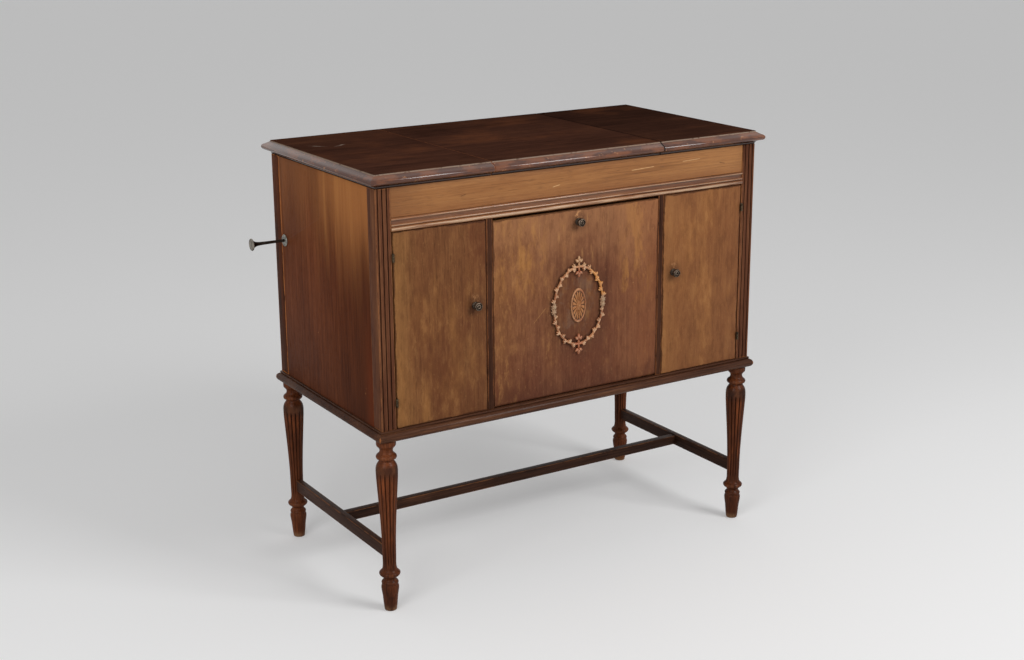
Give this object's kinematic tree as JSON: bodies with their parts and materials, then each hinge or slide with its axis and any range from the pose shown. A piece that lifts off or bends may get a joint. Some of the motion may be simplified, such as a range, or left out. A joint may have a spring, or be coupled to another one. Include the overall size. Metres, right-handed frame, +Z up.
{
  "type": "gramophone cabinet",
  "caption": "Console gramophone cabinet on turned legs with stretchers: hinged lid over a turntable, doors over record racks, drop front over the horn, winding shaft.",
  "frame": {"origin": "on the floor, under the middle of the whole cabinet with its winding shaft", "axes": "+X to the right of someone facing the front, +Y towards the back, +Z up"},
  "size_m": [0.9754, 0.4884, 0.864],
  "materials": {
    "wood_top": "polished dark brown",
    "wood_door": "mottled veneer, polished",
    "wood_frieze": "polished",
    "wood_side": "polished veneer",
    "wood_frame": "polished, worn at the arrises",
    "wood_leg": "polished, worn",
    "wood_stretcher": "worn",
    "wood_carving": "gilt brown, rubbed",
    "wood_inner": "plain",
    "bronze": "aged bronze",
    "nickel": "dulled nickel plate",
    "steel": "aged",
    "iron": "black enamel",
    "brass": "dulled",
    "felt": "napped"
  },
  "bodies": {
    "cabinet": {"base_board": "wood_frame", "front_rail": "wood_frame", "front_post_left": "wood_frame", "front_post_right": "wood_frame", "rear_post_left": "wood_frame", "rear_post_right": "wood_frame", "partition_left": "wood_frame", "partition_right": "wood_frame", "front_leg_left": "wood_leg", "front_leg_right": "wood_leg", "rear_leg_left": "wood_leg", "rear_leg_right": "wood_leg", "side_stretcher_left": "wood_stretcher", "side_stretcher_right": "wood_stretcher", "long_stretcher": "wood_stretcher", "side_panel_left": "wood_side", "side_panel_right": "wood_side", "back_panel": "wood_inner", "record_rack_left": "wood_inner", "record_rack_right": "wood_inner", "motor_board": "wood_inner", "horn": "wood_inner", "frieze_board": "wood_frieze", "top_left": "wood_top", "top_right": "wood_top", "upper_hinge_fixed_leaf_left": "bronze", "upper_hinge_fixed_leaf_right": "bronze", "lower_hinge_fixed_leaf_left": "bronze", "lower_hinge_fixed_leaf_right": "bronze", "lid_hinge_fixed_leaf": "brass", "escutcheon": "nickel", "tone_arm_bracket": "nickel", "motor_frame": "iron", "horn_elbow": "iron"},
    "lid": {"lid": "wood_top", "lid_hinge_moving_leaf": "brass"},
    "left_door": {"door_left": "wood_door", "knob_left": "bronze", "upper_hinge_moving_leaf_left": "bronze", "lower_hinge_moving_leaf_left": "bronze"},
    "right_door": {"door_right": "wood_door", "knob_right": "bronze", "upper_hinge_moving_leaf_right": "bronze", "lower_hinge_moving_leaf_right": "bronze"},
    "fall_front": {"fall_front": "wood_door", "fall_front_rod": "steel", "knob_centre": "bronze", "garland": "wood_carving", "patera": "wood_carving"},
    "turntable": {"turntable": "nickel", "turntable_felt": "felt", "spindle": "steel"},
    "spring_barrel": {"spring_barrel": "steel"},
    "winding_wheel": {"winding_wheel": "brass"},
    "governor": {"governor": "brass"},
    "winding_shaft": {"winding_shaft": "steel"},
    "tone_arm": {"tone_arm": "nickel"},
    "sound_box": {"sound_box": "nickel"},
    "brake_lever": {"brake_lever": "nickel"},
    "speed_lever": {"speed_lever": "nickel"}
  },
  "joints": [
    {"name": "lid_hinge", "type": "hinge", "parent": "cabinet", "child": "lid", "pos_m": [0.02931, 0.23201, 0.836], "axis": [-1, 0, 0], "range_deg": [0, 100]},
    {"name": "left_door_hinge", "type": "hinge", "parent": "cabinet", "child": "left_door", "pos_m": [-0.38129, -0.23109, 0.56], "axis": [0, 0, -1], "range_deg": [0, 110]},
    {"name": "right_door_hinge", "type": "hinge", "parent": "cabinet", "child": "right_door", "pos_m": [0.43991, -0.23109, 0.56], "axis": [0, 0, 1], "range_deg": [0, 110]},
    {"name": "fall_front_hinge", "type": "hinge", "parent": "cabinet", "child": "fall_front", "pos_m": [0.02931, -0.22019, 0.3825], "axis": [1, 0, 0], "range_deg": [0, 90]},
    {"name": "turntable_spin", "type": "hinge", "parent": "cabinet", "child": "turntable", "pos_m": [-0.014, 0.06238, 0.746], "axis": [0, 0, 1], "continuous": true},
    {"name": "barrel_turn", "type": "hinge", "parent": "cabinet", "child": "spring_barrel", "pos_m": [-0.02869, 0.12601, 0.7], "axis": [0, 0, 1], "continuous": true},
    {"name": "governor_spin", "type": "hinge", "parent": "cabinet", "child": "governor", "pos_m": [-0.028, 0.04308, 0.6648], "axis": [1, 0, 0], "continuous": true},
    {"name": "winding_turn", "type": "hinge", "parent": "cabinet", "child": "winding_shaft", "pos_m": [-0.41369, 0.18031, 0.6648], "axis": [1, 0, 0], "continuous": true},
    {"name": "winding_wheel_turn", "type": "hinge", "parent": "cabinet", "child": "winding_wheel", "pos_m": [-0.02869, 0.12601, 0.6648], "axis": [0, 0, 1], "continuous": true},
    {"name": "tone_arm_swing", "type": "hinge", "parent": "cabinet", "child": "tone_arm", "pos_m": [0.16, 0.16694, 0.756], "axis": [0, 0, -1], "range_deg": [0, 44]},
    {"name": "sound_box_turn", "type": "hinge", "parent": "tone_arm", "child": "sound_box", "pos_m": [0.139, -0.03106, 0.80324], "axis": [-1, 0, 0], "range_deg": [0, 60]},
    {"name": "brake_turn", "type": "hinge", "parent": "cabinet", "child": "brake_lever", "pos_m": [0.10162, -0.05828, 0.746], "axis": [0, 0, -1], "range_deg": [0, 25]},
    {"name": "speed_turn", "type": "hinge", "parent": "cabinet", "child": "speed_lever", "pos_m": [-0.12069, -0.12969, 0.746], "axis": [0, 0, 1], "range_deg": [-20, 20]}
  ],
  "couplings": [
    {"joint": "barrel_turn", "follows": "turntable_spin", "ratio": -0.083333},
    {"joint": "governor_spin", "follows": "turntable_spin", "ratio": 12},
    {"joint": "winding_wheel_turn", "follows": "winding_turn", "ratio": 0.021739}
  ]
}
